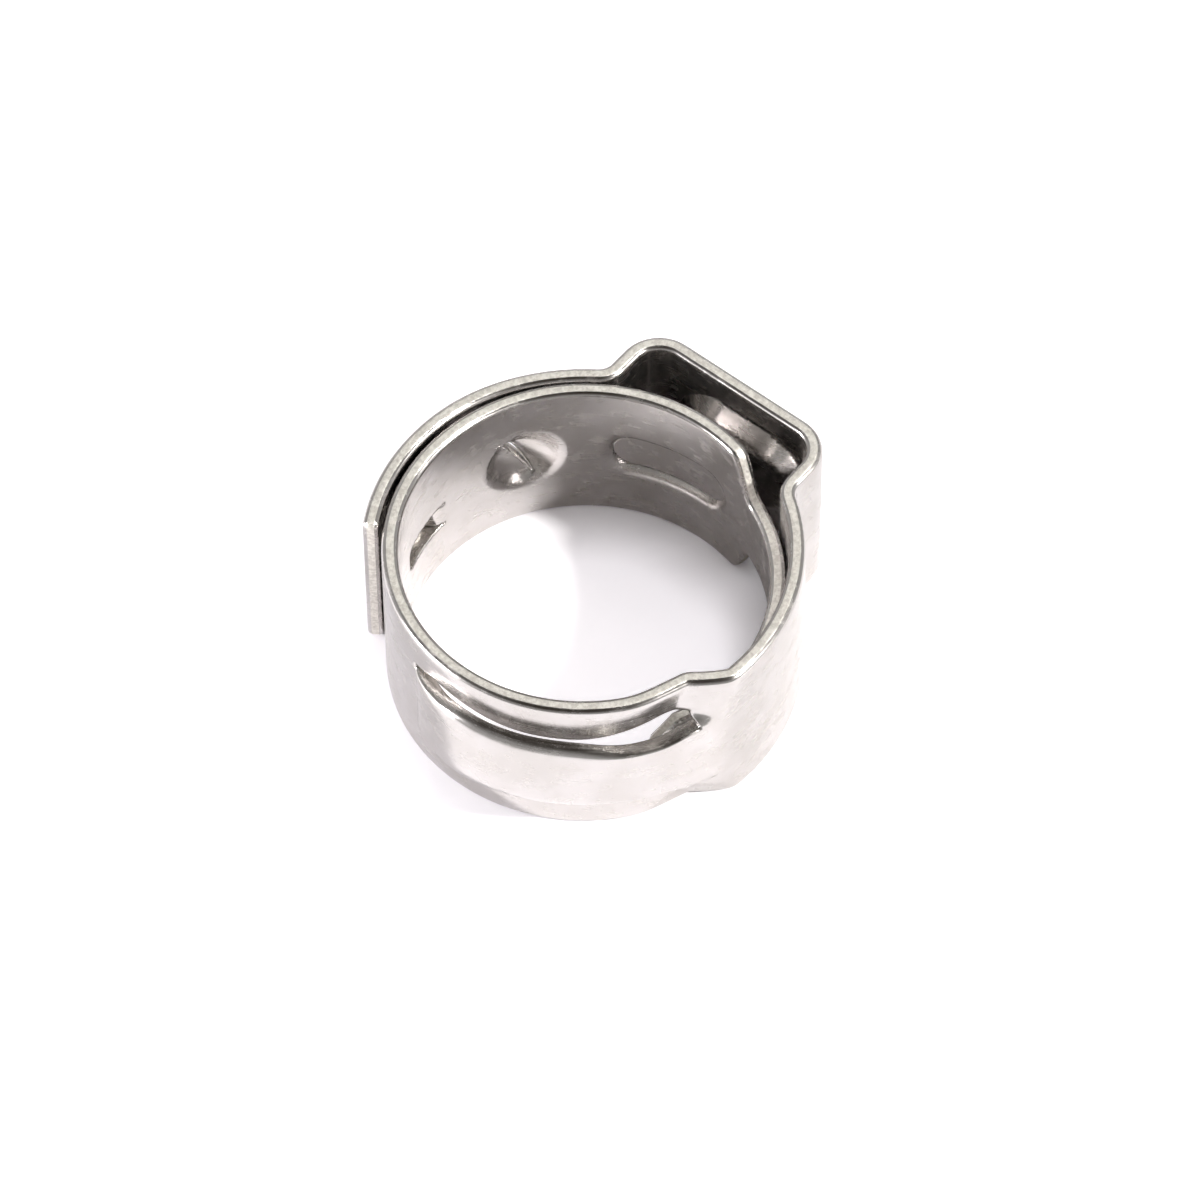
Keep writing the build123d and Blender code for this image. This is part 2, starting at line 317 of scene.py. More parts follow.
def middle_line():
    """The whole middle line: the distance along it, and its points."""
    ear, foot_turn = ear_plan()
    lower_turns = np.arange(TONGUE_TIP, CHANNEL_END, TURN_STEP)
    lower = on_ring(LOWER - rail_dip(lower_turns), lower_turns)
    share = np.linspace(0, 1, JOGGLE_POINTS)
    radius = LOWER - RAIL_DIP + (LAYER_STEP + RAIL_DIP) * joggle_rise(share)
    joggle = on_ring(radius, CHANNEL_END + JOGGLE_TURN * share)
    upper_start = CHANNEL_END + JOGGLE_TURN
    before_ear = on_ring(UPPER, np.arange(upper_start, EAR_MIDDLE - foot_turn, TURN_STEP)[1:])
    tail_turns = np.append(np.arange(EAR_MIDDLE + foot_turn, TAIL, TURN_STEP)[1:], TAIL)
    spring = TAIL_SPRING * smooth((tail_turns - tail_turns[0]) / TAIL_SPRING_TURN)
    after_ear = on_ring(UPPER + spring, tail_turns)
    points = np.concatenate([lower, joggle, before_ear] + ear + [after_ear])
    gaps = np.linalg.norm(np.diff(points, axis=0), axis=1)
    points = points[np.concatenate([[True], gaps > LEAST_GAP])]
    gaps = np.linalg.norm(np.diff(points, axis=0), axis=1)
    return np.concatenate([[0], np.cumsum(gaps)]), points


def blur(values, reach):
    """A running mean that keeps the ends."""
    kernel = np.hanning(2 * reach + 3)[1:-1]
    kernel /= kernel.sum()
    before = 2 * values[0] - values[reach:0:-1]
    after = 2 * values[-1] - values[-2 : -reach - 2 : -1]
    return np.convolve(np.concatenate([before, values, after]), kernel, mode="valid")


ALONG, LINE = middle_line()
LINE_LENGTH = ALONG[-1]
LINE_TURN = np.degrees(np.unwrap(np.arctan2(LINE[:, 1], LINE[:, 0])))

# The same line at even steps, and the way out of the ring there: square to the line, and on the
# joggle straight away from the bore's axis, because the strap runs on round the ring there.
EVEN = np.arange(0, LINE_LENGTH, PLAN_STEP)
EVEN_X = np.interp(EVEN, ALONG, LINE[:, 0])
EVEN_Y = np.interp(EVEN, ALONG, LINE[:, 1])
EVEN_RADIUS = np.hypot(EVEN_X, EVEN_Y)
EVEN_TURN = np.interp(EVEN, ALONG, LINE_TURN)
TANGENT_X = blur(np.gradient(EVEN_X, PLAN_STEP), PLAN_BLUR)
TANGENT_Y = blur(np.gradient(EVEN_Y, PLAN_STEP), PLAN_BLUR)
TANGENT = np.hypot(TANGENT_X, TANGENT_Y)
JOGGLE_SHARE = (EVEN_TURN - CHANNEL_END + JOGGLE_MARGIN) / (JOGGLE_TURN + 2 * JOGGLE_MARGIN)
ON_JOGGLE = (JOGGLE_SHARE > 0) & (JOGGLE_SHARE < 1)
OUT_X = np.where(ON_JOGGLE, EVEN_X / EVEN_RADIUS, TANGENT_Y / TANGENT)
OUT_Y = np.where(ON_JOGGLE, EVEN_Y / EVEN_RADIUS, -TANGENT_X / TANGENT)
PLATE_MIDDLE = EVEN[np.argmin(np.hypot(EVEN_X, EVEN_Y - EAR_TOP + HALF_THICKNESS))]


def place(turn):
    """Distance along the strip of a plan angle."""
    return float(np.interp(turn, LINE_TURN, ALONG))


def turn_at(u):
    """The plan angle at a distance along the strip."""
    return np.interp(u, ALONG, LINE_TURN)


# ---- what the press stamps into the strip ---------------------------------------------------
def channel_share(turn):
    """0 at the channel's start and 1 at its end."""
    return (turn - CHANNEL_START) / (CHANNEL_END - CHANNEL_START)


def slit_edges(turn):
    """Half the strap's width and the rails' inner edge: the slit gapes at both of its ends."""
    share = channel_share(turn)
    left = 1 - change(share, FLARE_LEFT_RUN)
    waist = STRAP_WAIST_RIGHT * change(share, WAIST_RUN)
    strap_right = STRAP_FLARE_RIGHT * change(share, FLARE_RIGHT_RUN)
    rail_right = RAIL_FLARE_RIGHT * change(share, RAIL_FLARE_RUN)
    strap = STRAP_HALF + STRAP_FLARE_LEFT * left - waist + strap_right
    rail = RAIL_INNER + RAIL_FLARE_LEFT * left + rail_right
    return strap, np.maximum(rail, strap + SLIT_LEAST)


def strap_rise(turn):
    """How far the strap stands out of the lower layer, which itself dips."""
    ramp_share = np.clip((turn - CHANNEL_START) / STRAP_RAMP, 0, 1)
    breaks_away = smooth(ramp_share / STRAP_BREAK + STRAP_BREAK_START)
    return LAYER_STEP * (1 - (1 - ramp_share) ** 2) * breaks_away + rail_dip(turn)


def channel_rise(u, v):
    """The strap stands out to the upper radius between its two rails, up to the joggle's end."""
    turn = turn_at(u)
    joggle_share = (turn - CHANNEL_END) / JOGGLE_TURN
    full_step = LAYER_STEP + RAIL_DIP
    line_rise = full_step * joggle_rise(joggle_share)
    in_run = (turn > CHANNEL_START) & (turn < CHANNEL_END + JOGGLE_TURN)
    strap = np.where(in_run, strap_rise(turn) - line_rise, 0)

    strap_edge, rail_edge = slit_edges(turn)
    near_slit = smooth(1 - (np.abs(v) - rail_edge) / RAIL_BEND_WIDTH)
    early = full_step * joggle_rise(joggle_share + RAIL_EARLY * near_slit) - line_rise
    roll_starts = smooth((turn - CHANNEL_START) / RAIL_ROLL_TURN)
    roll_ends = smooth((CHANNEL_END - turn) / RAIL_ROLL_TURN)
    roll = RAIL_ROLL * (roll_starts * roll_ends) * near_slit

    room = STEP_ROOM * smooth((turn - CHANNEL_END + STEP_ROOM_EARLY) / STEP_ROOM_TURN)
    strap_edge = strap_edge - room
    rail_edge = rail_edge + room
    past_strap = np.abs(v) - strap_edge - SLIT_MARGIN
    on_strap = 1 - smooth(past_strap / (rail_edge - strap_edge - 2 * SLIT_MARGIN))
    return strap * on_strap + (early - roll) * (1 - on_strap)


def bead_rise(u, v):
    """A long shallow bead, pressed outwards."""
    x = np.abs(u - place(BEAD_MIDDLE)) - (BEAD_LENGTH - BEAD_HEIGHT) / 2
    reach = np.hypot(np.maximum(x, 0), v)
    return BEAD_DEPTH * (1 - smooth((reach - BEAD_HEIGHT / 2 + BEAD_WALL) / BEAD_WALL))


def dish(reach, depth, steepness):
    """A dish as deep at its middle; the higher the steepness, the flatter its floor."""
    return depth * (1 - np.minimum(reach / (DOME_MOUTH / 2), 1) ** steepness)


def dome_rise(u, v):
    """The dome: a deep half that hooks, on the ear's side of the cut, and a shallow one."""
    lean = radians(DOME_CUT_LEAN)
    x = place(DOME_MIDDLE) + DOME_CUT_SHIFT - u
    across = x * cos(lean) + v * sin(lean)
    reach = np.hypot(place(DOME_MIDDLE) - u, v)
    hook = dish(reach, DOME_HOOK_DEPTH, DOME_HOOK_STEEPNESS)
    guide = dish(reach, DOME_GUIDE_DEPTH, DOME_GUIDE_STEEPNESS)
    return np.where(across > 0, hook, guide)


def finger_rise(u, v):
    """The finger, bent out at its root and then nearly straight."""
    share = (u - place(FINGER_ROOT)) / FINGER_LENGTH
    side = np.abs(v - FINGER_SHIFT)
    on_finger = (share > 0) & (share < FINGER_REACH) & (side < (FINGER_WIDTH - FINGER_GAP) / 2)
    knee = FINGER_KNEE_LIFT * smooth(share / FINGER_KNEE)
    slope = (1 - FINGER_KNEE_LIFT) * np.clip(share, 0, FINGER_REACH)
    return np.where(on_finger, FINGER_LIFT * (knee + slope), 0)


def dimple_rise(u, v):
    """The ear's dimple, pressed inwards."""
    x = np.abs(u - PLATE_MIDDLE + DIMPLE_SHIFT) - (DIMPLE_LENGTH - DIMPLE_HEIGHT) / 2
    reach = np.hypot(np.maximum(x, 0), v)
    return -DIMPLE_DEPTH * ramp((DIMPLE_HEIGHT / 2 - reach) / DIMPLE_WALL)


def soft_rise(u, v):
    """The drawn forms, whose walls lean with the sheet."""
    return bead_rise(u, v) + dome_rise(u, v) + finger_rise(u, v) + dimple_rise(u, v)


def strap_spread(u, v):
    """By what share a point of the strap is squeezed outwards, over the slits."""
    turn = turn_at(u)
    share = channel_share(turn)
    strap_edge, rail_edge = slit_edges(turn)
    on_strap = (share > 0) & (share < 1) & (np.abs(v) < (strap_edge + rail_edge) / 2)
    spread = STRAP_SPREAD * change(share, SPREAD_GROWS) * (1 - change(share, SPREAD_ENDS))
    return np.where(on_strap, spread, 0)


def middle_points(u, v):
    """The sheet's middle face in plan, and the way out of the ring there."""
    x = np.interp(u, EVEN, EVEN_X)
    y = np.interp(u, EVEN, EVEN_Y)
    out_x = np.interp(u, EVEN, OUT_X)
    out_y = np.interp(u, EVEN, OUT_Y)
    lift = channel_rise(u, v) + soft_rise(u, v)
    return x + out_x * lift, y + out_y * lift, out_x, out_y


def place_points(u, v, h):
    """The strip's points in space, in millimetres."""
    x, y, out_x, out_y = middle_points(u, v)
    before_x, before_y, _, _ = middle_points(u - SLOPE_STEP, v)
    after_x, after_y, _, _ = middle_points(u + SLOPE_STEP, v)
    dx = after_x - before_x
    dy = after_y - before_y
    outwards = dx * out_x + dy * out_y
    onwards = dx * -out_y + dy * out_x
    slope_u = np.clip(outwards / np.maximum(onwards, LEAST_SIDE), -MAX_SLOPE, MAX_SLOPE)
    slope_v = (soft_rise(u, v + SLOPE_STEP) - soft_rise(u, v - SLOPE_STEP)) / (2 * SLOPE_STEP)
    slope_v = np.clip(slope_v, -MAX_SLOPE, MAX_SLOPE)
    size = np.sqrt(1 + slope_u**2 + slope_v**2)
    x = x + h * (out_x + slope_u * out_y) / size
    y = y + h * (out_y - slope_u * out_x) / size
    z = v * (1 + strap_spread(u, v)) - h * slope_v / size
    return np.stack([x, y, z], axis=-1)


# ---- the blank's outline and its cut-outs ---------------------------------------------------
def rounded(corners):
    """A closed outline from (u, v, radius) corners, with each corner made an arc."""
    points = []
    count = len(corners)
    for i, (u, v, radius) in enumerate(corners):
        here = Vector((u, v))
        back = Vector(corners[i - 1][:2]) - here
        ahead = Vector(corners[(i + 1) % count][:2]) - here
        if radius <= 0:
            points.append((u, v))
            continue
        back_way = back.normalized()
        ahead_way = ahead.normalized()
        half = back_way.angle(ahead_way) / 2
        reach = min(radius / tan(half), SIDE_SHARE * back.length, SIDE_SHARE * ahead.length)
        radius = reach * tan(half)
        centre = here + (back_way + ahead_way).normalized() * (radius / sin(half))
        start = here + back_way * reach - centre
        end = here + ahead_way * reach - centre
        first = atan2(start.y, start.x)
        turn = (atan2(end.y, end.x) - first + pi) % (2 * pi) - pi
        steps = max(int(abs(turn) * radius / (0.5 * LOOP_STEP)), CORNER_LEAST)
        for k in range(steps + 1):
            angle = first + turn * k / steps
            points.append((centre.x + radius * cos(angle), centre.y + radius * sin(angle)))
    return points


def evenly(points):
    """The same closed outline with no side longer than the loop's spacing."""
    result = []
    for i, (u, v) in enumerate(points):
        next_u, next_v = points[(i + 1) % len(points)]
        length = hypot(next_u - u, next_v - v)
        if length < LEAST_SIDE:
            continue
        steps = max(ceil(length / LOOP_STEP), 1)
        for k in range(steps):
            result.append((u + (next_u - u) * k / steps, v + (next_v - v) * k / steps))
    return np.array(result)


def turned(loop, counter_clockwise):
    """The loop, in the order asked for."""
    u = loop[:, 0]
    v = loop[:, 1]
    area = np.sum(u * np.roll(v, -1) - np.roll(u, -1) * v) / 2
    return loop if (area > 0) == counter_clockwise else loop[::-1].copy()


def box_hole(span, height, shift):
    """A round-cornered window between two plan angles."""
    start = place(span[0])
    end = place(span[1])
    low = shift - height / 2
    high = shift + height / 2
    corners = ((start, low), (end, low), (end, high), (start, high))
    return rounded([(u, v, WINDOW_CORNER) for u, v in corners])


def slit_hole(side):
    """One slit of the channel, between the strap and a rail; the upper one has side 1."""
    start = CHANNEL_START + (SLIT_CLOSED if side < 0 else 0)
    turns = np.linspace(start, CHANNEL_END, SLIT_POINTS)
    u = np.array([place(turn) for turn in turns])
    strap_edge, rail_edge = slit_edges(turns)
    rail = list(zip(u, side * rail_edge))
    strap = list(zip(u, side * strap_edge))
    return strap + rail[::-1]


def finger_hole():
    """The slot round the finger: a narrow cut at its sides and the space past its tip."""
    root = place(FINGER_ROOT)
    tip = root + FINGER_LENGTH * FINGER_TIP_SHARE
    end = root + FINGER_SLOT_LENGTH
    outer = FINGER_WIDTH / 2
    inner = outer - FINGER_GAP
    corners = [
        (root, -outer, 0),
        (end, -outer, FINGER_SLOT_CORNER),
        (end, outer, FINGER_SLOT_CORNER),
        (root, outer, 0),
        (root, inner, 0),
        (tip, inner, FINGER_TIP_CORNER),
        (tip, -inner, FINGER_TIP_CORNER),
        (root, -inner, 0),
    ]
    return rounded([(u, v + FINGER_SHIFT, radius) for u, v, radius in corners])


def dome_hole():
    """The narrow cut between the two halves of the dome."""
    lean = radians(DOME_CUT_LEAN)
    half_length = DOME_MOUTH / 2 * DOME_CUT_SHARE
    corners = []
    for along, across in (
        (-half_length, -DOME_CUT_HALF),
        (half_length, -DOME_CUT_HALF),
        (half_length, DOME_CUT_HALF),
        (-half_length, DOME_CUT_HALF),
    ):
        x = across * cos(lean) - along * sin(lean)
        v = across * sin(lean) + along * cos(lean)
        corners.append((place(DOME_MIDDLE) + DOME_CUT_SHIFT - x, v))
    return corners


def blank_outline():
    """The strip's own outline: tongue, shoulders, full width and tail."""
    half = TONGUE_WIDTH / 2
    below = [
        (0.0, -half + TONGUE_TIP_CUT, TONGUE_CORNER),
        (TONGUE_TIP_CUT, -half, TONGUE_CORNER),
        (place(SHOULDER_LOW), -half, SHOULDER_LOW_CORNER),
        (place(SHOULDER_TOP), -HALF_WIDTH, SHOULDER_TOP_CORNER),
        (LINE_LENGTH, -HALF_WIDTH, TAIL_CORNER),
    ]
    above = [(u, -v, radius) for u, v, radius in reversed(below)]
    return rounded(below + above)


# ---- the edges of the sheet -----------------------------------------------------------------
def inward(loop):
    """The mitred direction from each point of a loop into the metal, which is on its left."""
    ahead = np.roll(loop, -1, axis=0) - loop
    ahead /= np.linalg.norm(ahead, axis=1)[:, None]
    back = np.roll(ahead, 1, axis=0)
    left_ahead = np.stack([-ahead[:, 1], ahead[:, 0]], axis=-1)
    left_back = np.stack([-back[:, 1], back[:, 0]], axis=-1)
    middle = left_ahead + left_back
    middle /= np.linalg.norm(middle, axis=1)[:, None]
    return middle / np.maximum((middle * left_ahead).sum(axis=1), MITRE_LEAST)[:, None]


def slit_rounding(loop, radii):
    """A slit's rounding: on the strap's side it is far wider, most in the strap's middle."""
    turn = turn_at(loop[:, 0])
    strap_edge, rail_edge = slit_edges(turn)
    on_strap = np.abs(loop[:, 1]) < (strap_edge + rail_edge) / 2
    along = channel_share(turn)
    middle = change(along, ROUND_GROWS) * (1 - change(along, ROUND_ENDS))
    share = np.where(on_strap, middle, 0)[:, None]
    return radii * (1 - share) + np.array(STRAP_ROUND) * share


class Edge:
    """One closed cut edge of the sheet, with the metal on its left."""

    def __init__(self, outline, rounding, is_outline=False, is_slit=False):
        self.loop = turned(evenly(outline), is_outline)
        self.way = inward(self.loop)  # from each point into the metal
        self.radii = np.tile(rounding, (len(self.loop), 1))
        if is_slit:
            self.radii = slit_rounding(self.loop, self.radii)
        self.inset = self.loop + self.way * self.radii[:, :1]
        self.torn = TORN_OUTLINE if is_outline else TORN_CUT_OUT

    def ring(self, level, is_outer):
        """The ring of points at one level of the rounding, and its heights in the sheet."""
        angle = level * pi / 2
        reach = self.radii[:, 0] if is_outer else self.radii[:, 2]
        radius = self.radii[:, 1] if is_outer else self.radii[:, 2]
        points = self.loop + self.way * (reach * (1 - sin(angle)))[:, None]
        height = HALF_THICKNESS - radius + radius * cos(angle)
        return points, height if is_outer else -height


def all_edges():
    """The strip's outline first, then every cut-out."""
    return [
        Edge(blank_outline(), EDGE_ROUND, is_outline=True),
        Edge(slit_hole(1), RAIL_ROUND, is_slit=True),
        Edge(slit_hole(-1), RAIL_ROUND, is_slit=True),
        Edge(finger_hole(), HOOK_ROUND),
        Edge(dome_hole(), HOOK_ROUND),
        Edge(box_hole(DOME_WINDOW, DOME_WINDOW_HEIGHT, 0), WINDOW_ROUND),
        Edge(box_hole(FINGER_WINDOW, FINGER_WINDOW_HEIGHT, FINGER_SHIFT), WINDOW_ROUND),
    ]


# ---- the mesh of the sheet ------------------------------------------------------------------
def inside(points, loop):
    """Which points lie inside a closed loop, by counting crossings."""
    result = np.zeros(len(points), dtype=bool)
    x = points[:, 0]
    y = points[:, 1]
    for (x0, y0), (x1, y1) in zip(loop, np.roll(loop, -1, axis=0)):
        if y0 == y1:
            continue
        crosses = (y0 > y) != (y1 > y)
        result ^= crosses & (x < (x1 - x0) * (y - y0) / (y1 - y0) + x0)
    return result


def near_loops(points, loops, distance):
    """Which points lie nearer to a loop's points than a distance, through a grid of cells."""
    cells = {}
    for loop in loops:
        for u, v in loop:
            cells.setdefault((int(u // distance), int(v // distance)), []).append((u, v))
    result = np.zeros(len(points), dtype=bool)
    for i, (u, v) in enumerate(points):
        column = int(u // distance)
        row = int(v // distance)
        for a in (column - 1, column, column + 1):
            for b in (row - 1, row, row + 1):
                for loop_u, loop_v in cells.get((a, b), ()):
                    if (loop_u - u) ** 2 + (loop_v - v) ** 2 < distance**2:
                        result[i] = True
    return result


def fine_zones():
    """Where the grid is finer: u from and to, v from and to, spacing along and across."""
    dome = place(DOME_MIDDLE)
    dome_length = 1.9
    dome_height = 1.8
    finger_start = place(FINGER_ROOT) - 0.2
    finger_end = place(FINGER_ROOT) + 2.9
    finger_low = FINGER_SHIFT - 0.8
    finger_high = FINGER_SHIFT + 0.8
    bead = place(BEAD_MIDDLE)
    bead_length = 3.1
    bead_height = 1.6
    dimple = PLATE_MIDDLE - DIMPLE_SHIFT
    dimple_length = 3.0
    dimple_height = 2.2
    zones = [
        (dome - dome_length, dome + dome_length, -dome_height, dome_height, DOME_GRID, DOME_GRID),
        (finger_start, finger_end, finger_low, finger_high, FINE_GRID, FINE_GRID),
        (bead - bead_length, bead + bead_length, -bead_height, bead_height, FINE_GRID, FINE_GRID),
        (dimple - dimple_length, dimple + dimple_length, -dimple_height, dimple_height,
         FINE_GRID, FINE_GRID),
    ]
    channel_start = place(CHANNEL_START) - 0.4
    channel_end = place(CHANNEL_END + JOGGLE_TURN) + 0.3
    on_strap = STRAP_HALF - 0.4
    on_rail = STRAP_HALF + 1.0
    for low, high in ((-on_rail, -on_strap), (on_strap, on_rail)):
        zones.append(
            (channel_start, channel_end, low, high, CHANNEL_GRID_ALONG, CHANNEL_GRID_ACROSS))
    return zones


def grid_points(along, across):
    """A grid of points, from its places along the strip and across it."""
    return np.stack(np.meshgrid(along, across), axis=-1).reshape(-1, 2)


def inner_points(outer, holes):
    """The sheet's own points: an even grid, finer where small forms are stamped."""
    across = np.arange(-HALF_WIDTH, HALF_WIDTH + LEAST_SIDE, GRID)
    coarse = grid_points(np.arange(0, LINE_LENGTH, GRID), across)
    keep = np.ones(len(coarse), dtype=bool)
    grids = []
    for u0, u1, v0, v1, du, dv in fine_zones():
        in_u = (coarse[:, 0] > u0) & (coarse[:, 0] < u1)
        in_v = (coarse[:, 1] > v0) & (coarse[:, 1] < v1)
        keep &= ~(in_u & in_v)
        grids.append(grid_points(np.arange(u0 + du / 2, u1, du), np.arange(v0 + dv / 2, v1, dv)))
    points = np.concatenate([coarse[keep]] + grids)
    points = points[inside(points, outer)]
    for hole in holes:
        points = points[~inside(points, hole)]
    return points[~near_loops(points, [outer] + holes, EDGE_MARGIN)]


def triangulate(insets):
    """The flat sheet inside its rounded edges: its points, and its triangles as rows."""
    flat = np.concatenate(insets + [inner_points(insets[0], insets[1:])])
    sides = []
    start = 0
    for inset in insets:
        count = len(inset)
        sides += [(start + i, start + (i + 1) % count) for i in range(count)]
        start += count
    corners = [Vector(point) for point in flat]
    _, _, faces, origin, _, _ = geometry.delaunay_2d_cdt(
        corners, sides, [], 0, TRIANGULATION_TOLERANCE)
    first = [ids[0] for ids in origin]
    triangles = np.array([[first[i] for i in face] for face in faces])
    middles = flat[triangles].mean(axis=1)
    good = inside(middles, insets[0])
    for inset in insets[1:]:
        good &= ~inside(middles, inset)
    return flat, triangles[good]


def between_rows(rows):
    """Four-sided faces between closed rows of points."""
    polygons = []
    for upper, lower in zip(rows, rows[1:]):
        corners = (upper, lower, np.roll(lower, -1), np.roll(upper, -1))
        polygons += list(zip(*(corner.tolist() for corner in corners)))
    return polygons


def make_sheet():
    """The thick sheet before it is rolled up: its points' (u, v), h and torn look; its faces."""
    edges = all_edges()
    flat, triangles = triangulate([edge.inset for edge in edges])
    count = len(flat)
    uv = [flat, flat]
    h = [np.full(count, HALF_THICKNESS), np.full(count, -HALF_THICKNESS)]
    torn = [np.zeros(2 * count)]
    polygons = [(int(a), int(b), int(c)) for a, b, c in triangles]
    polygons += [(a + count, c + count, b + count) for a, b, c in polygons]
    outer_levels = [(level, True) for level in ROUND_LEVELS]
    inner_levels = [(level, False) for level in reversed((0,) + ROUND_LEVELS)]
    total = 2 * count
    start = 0
    for edge in edges:
        size = len(edge.loop)
        rows = [np.arange(start, start + size)]
        for level, is_outer in outer_levels + inner_levels:
            points, height = edge.ring(level, is_outer)
            uv.append(points)
            h.append(height)
            torn.append(np.full(size, edge.torn if level == ROUND_LEVELS[-1] else 0.0))
            rows.append(np.arange(total, total + size))
            total += size
        rows.append(rows[0] + count)
        polygons += between_rows(rows)
        start += size
    return np.concatenate(uv), np.concatenate(h), np.concatenate(torn), polygons


def make_band(material):
    """The whole clamp; its flat coordinates stay on the mesh, for the metal's grain."""
    uv, h, torn, polygons = make_sheet()
    points = place_points(uv[:, 0], uv[:, 1], h) * MM
    mesh = bpy.data.meshes.new("clamp_strip")
    mesh.from_pydata(points.tolist(), [], polygons)
    strip = mesh.attributes.new("strip", "FLOAT_VECTOR", "POINT")
    strip.data.foreach_set("vector", np.column_stack([uv, h]).astype(np.float32).ravel())
    shear = mesh.attributes.new("shear", "FLOAT", "POINT")
    shear.data.foreach_set("value", torn.astype(np.float32))
    mesh.shade_smooth()
    mesh.materials.append(material)
    piece = bpy.data.objects.new("clamp_strip", mesh)
    bpy.context.collection.objects.link(piece)
    return piece


# ---- materials ------------------------------------------------------------------------------
class Nodes:
    """A material's node tree, with short calls to add and join nodes."""

    def __init__(self, name):
        self.material = bpy.data.materials.new(name)
        self.material.use_nodes = True
        self.tree = self.material.node_tree
        self.shader = self.tree.nodes["Principled BSDF"]
        self.output = self.tree.nodes["Material Output"]

    def add(self, kind, **settings):
        node = self.tree.nodes.new(kind)
        for key, value in settings.items():
            setattr(node, key, value)
        return node

    def join(self, source, target):
        self.tree.links.new(source, target)

    def feed(self, target, value):
        if isinstance(value, bpy.types.NodeSocket):
            self.join(value, target)
        else:
            target.default_value = value

    def math(self, operation, first, second=0.0):
        node = self.add("ShaderNodeMath", operation=operation)
        self.feed(node.inputs[0], first)
        self.feed(node.inputs[1], second)
        return node.outputs[0]

    def scaled(self, vector, scale):
        node = self.add("ShaderNodeVectorMath", operation="MULTIPLY")
        self.feed(node.inputs[0], vector)
        node.inputs[1].default_value = scale
        return node.outputs[0]

    def noise(self, vector, detail, roughness, scale=1.0):
        node = self.add("ShaderNodeTexNoise", noise_dimensions="3D")
        self.feed(node.inputs["Vector"], vector)
        node.inputs["Scale"].default_value = scale
        node.inputs["Detail"].default_value = detail
        node.inputs["Roughness"].default_value = roughness
        return node.outputs["Fac"]

    def spread(self, value, low, high, to_low=0.0, to_high=1.0):
        node = self.add("ShaderNodeMapRange", interpolation_type="SMOOTHSTEP")
        self.feed(node.inputs["Value"], value)
        node.inputs["From Min"].default_value = low
        node.inputs["From Max"].default_value = high
        node.inputs["To Min"].default_value = to_low
        node.inputs["To Max"].default_value = to_high
        return node.outputs["Result"]

    def mix(self, factor, first, second):
        node = self.add("ShaderNodeMix", data_type="RGBA")
        self.feed(node.inputs["Factor"], factor)
        self.feed(node.inputs[6], first)
        self.feed(node.inputs[7], second)
        return node.outputs[2]

    def bump(self, height, strength, distance, before=None):
        node = self.add("ShaderNodeBump")
        node.inputs["Strength"].default_value = strength
        node.inputs["Distance"].default_value = distance
        self.join(height, node.inputs["Height"])
        if before is not None:
            self.join(before, node.inputs["Normal"])
        return node.outputs["Normal"]


def steel_material():
    """Rolled stainless strip: fine grain along it, handling marks, and torn, duller cut edges."""
    n = Nodes("rolled_stainless")
    strip = n.add("ShaderNodeAttribute", attribute_name="strip").outputs["Vector"]
    shear = n.add("ShaderNodeAttribute", attribute_name="shear").outputs["Fac"]
    grain = n.noise(n.scaled(strip, GRAIN_SCALE), detail=4, roughness=0.6)
    haze = n.noise(strip, detail=3, roughness=0.6, scale=HAZE_SCALE)
    marks = n.noise(n.scaled(strip, MARK_SCALE), detail=4, roughness=0.55)
    tear = n.noise(n.scaled(strip, TEAR_SCALE), detail=4, roughness=0.7)

    face = n.mix(n.spread(haze, 0.35, 0.7), FACE_DARK, FACE_LIGHT)
    face = n.mix(n.spread(marks, 0.52, 0.75, to_low=0, to_high=0.15), face, MARK_COLOR)
    edge = n.mix(n.spread(tear, 0.35, 0.65), TORN_DARK, TORN_LIGHT)
    n.join(n.mix(shear, face, edge), n.shader.inputs["Base Color"])

    rough = n.spread(grain, 0.3, 0.7, to_low=0.2, to_high=0.3)
    rough = n.math("ADD", rough, n.spread(marks, 0.45, 0.75, to_low=-0.03, to_high=0.07))
    on_outline = n.spread(shear, TORN_CUT_OUT, TORN_OUTLINE)
    rough = n.math("ADD", rough, n.math("MULTIPLY", on_outline, TORN_ROUGHNESS))
    n.join(rough, n.shader.inputs["Roughness"])
    n.shader.inputs["Metallic"].default_value = 1.0

    normal = n.bump(grain, strength=0.07, distance=0.01 * MM)
    normal = n.bump(marks, strength=0.05, distance=0.06 * MM, before=normal)
    torn = n.math("MULTIPLY", tear, shear)
    normal = n.bump(torn, strength=0.6, distance=0.06 * MM, before=normal)
    n.join(normal, n.shader.inputs["Normal"])
    return n.material


def table_material():
    """A white table: the camera sees it lit up a little, so that its shadow stays faint; that lift
    fades near the clamp's foot, as painted contact shade.
    """
    n = Nodes("white_table")
    n.shader.inputs["Base Color"].default_value = TABLE_COLOR
    n.shader.inputs["Roughness"].default_value = 0.8
    n.shader.inputs["Specular IOR Level"].default_value = 0.1
    path = n.add("ShaderNodeLightPath")
    glow = n.add("ShaderNodeEmission")
    glow.inputs["Color"].default_value = TABLE_GLOW_COLOR
    # painted contact shade: ambient occlusion dims the camera-only glow where the clamp stands
    # close
    painted_shade_ao = n.add("ShaderNodeAmbientOcclusion", samples=8)
    painted_shade_ao.inputs["Distance"].default_value = TABLE_PAINTED_SHADE_REACH
    painted_shade_fade = n.math("POWER", painted_shade_ao.outputs["AO"], TABLE_PAINTED_SHADE_POWER)
    strength = n.math("MULTIPLY", painted_shade_fade, TABLE_GLOW)
    seen = n.math("MULTIPLY", path.outputs["Is Camera Ray"], strength)
    n.join(seen, glow.inputs["Strength"])
    total = n.add("ShaderNodeAddShader")
    n.join(n.shader.outputs[0], total.inputs[0])
    n.join(glow.outputs[0], total.inputs[1])
    n.join(total.outputs[0], n.output.inputs["Surface"])
    return n.material


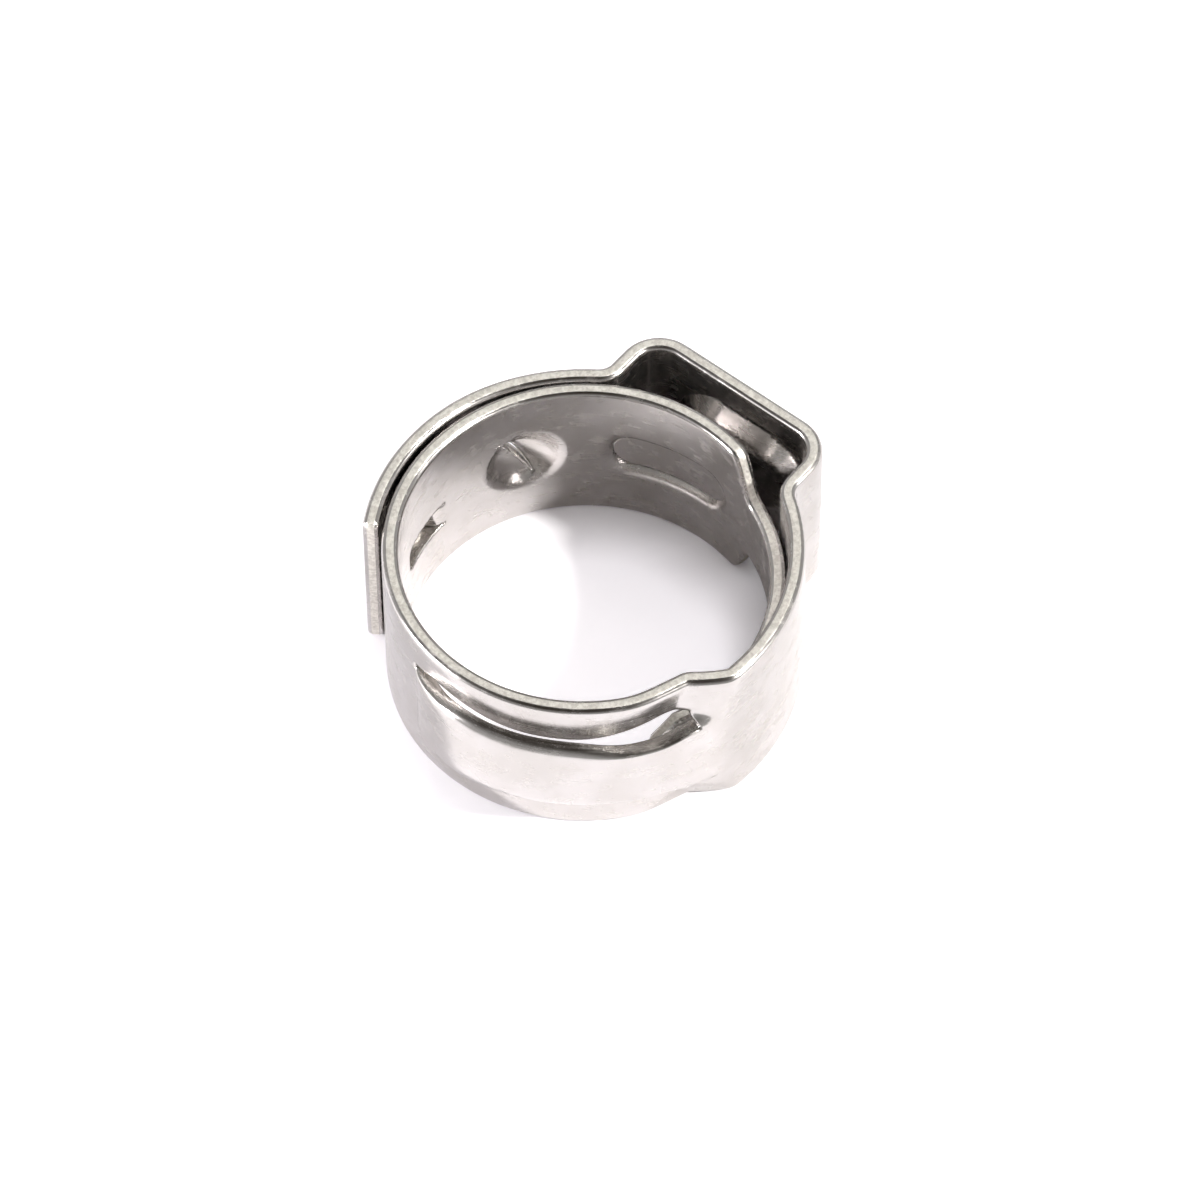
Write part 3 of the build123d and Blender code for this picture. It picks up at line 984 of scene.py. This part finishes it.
# ---- the stage ------------------------------------------------------------------------------
def sky_way(azimuth, elevation):
    """The direction from the clamp towards a place in the room; the angles in degrees."""
    turn = radians(azimuth)
    lift = radians(elevation)
    return Vector((cos(turn) * cos(lift), sin(turn) * cos(lift), sin(lift)))


def area_light(name, azimuth, elevation, size, power, color):
    """A round lamp that shines on the clamp."""
    lamp = bpy.data.lights.new(name, "AREA")
    lamp.shape = "DISK"
    lamp.size = size
    lamp.energy = power
    lamp.color = color
    light = bpy.data.objects.new(name, lamp)
    bpy.context.collection.objects.link(light)
    light.location = sky_way(azimuth, elevation) * LAMP_DISTANCE
    light.rotation_euler = (-light.location).to_track_quat("-Z", "Y").to_euler()


def make_floor(height):
    """A plain white table top."""
    size = FLOOR_HALF
    corners = [(-size, -size), (size, -size), (size, size), (-size, size)]
    mesh = bpy.data.meshes.new("floor")
    mesh.from_pydata([(x, y, height) for x, y in corners], [], [(0, 1, 2, 3)])
    floor = bpy.data.objects.new("floor", mesh)
    bpy.context.collection.objects.link(floor)
    mesh.materials.append(table_material())


def make_world():
    """A soft white room, dimmer and warmer overhead."""
    world = bpy.data.worlds.new("studio")
    bpy.context.scene.world = world
    world.use_nodes = True
    tree = world.node_tree
    way = tree.nodes.new("ShaderNodeTexCoord").outputs["Generated"]
    towards_dim = tree.nodes.new("ShaderNodeVectorMath")
    towards_dim.operation = "DOT_PRODUCT"
    towards_dim.inputs[1].default_value = sky_way(DIM_AZIMUTH, DIM_ELEVATION)
    tree.links.new(way, towards_dim.inputs[0])
    fade = tree.nodes.new("ShaderNodeValToRGB")
    tree.links.new(towards_dim.outputs["Value"], fade.inputs["Fac"])
    fade.color_ramp.interpolation = "B_SPLINE"
    room_stop, dim_stop = fade.color_ramp.elements
    room_stop.position = ROOM_EDGE
    room_stop.color = ROOM_COLOR
    dim_stop.position = DIM_EDGE
    dim_stop.color = DIM_COLOR
    background = tree.nodes["Background"]
    tree.links.new(fade.outputs["Color"], background.inputs["Color"])
    background.inputs["Strength"].default_value = ROOM_LIGHT


make_camera()
make_world()
make_floor(-HALF_WIDTH * MM)
area_light(
    "key", azimuth=VIEW_AZIMUTH - 18.9, elevation=38.6,
    size=0.045, power=3.4, color=(1.0, 0.98, 0.95))
area_light(
    "fill", azimuth=VIEW_AZIMUTH + 190, elevation=16,
    size=0.06, power=3.5, color=(1.0, 0.98, 1.0))
area_light(
    "back", azimuth=VIEW_AZIMUTH + 90, elevation=52,
    size=0.35, power=0.4, color=(1.0, 1.0, 0.98))

band = make_band(steel_material())
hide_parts("clamp_band")
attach(band, "root")

bpy.context.scene.view_settings.view_transform = "Standard"
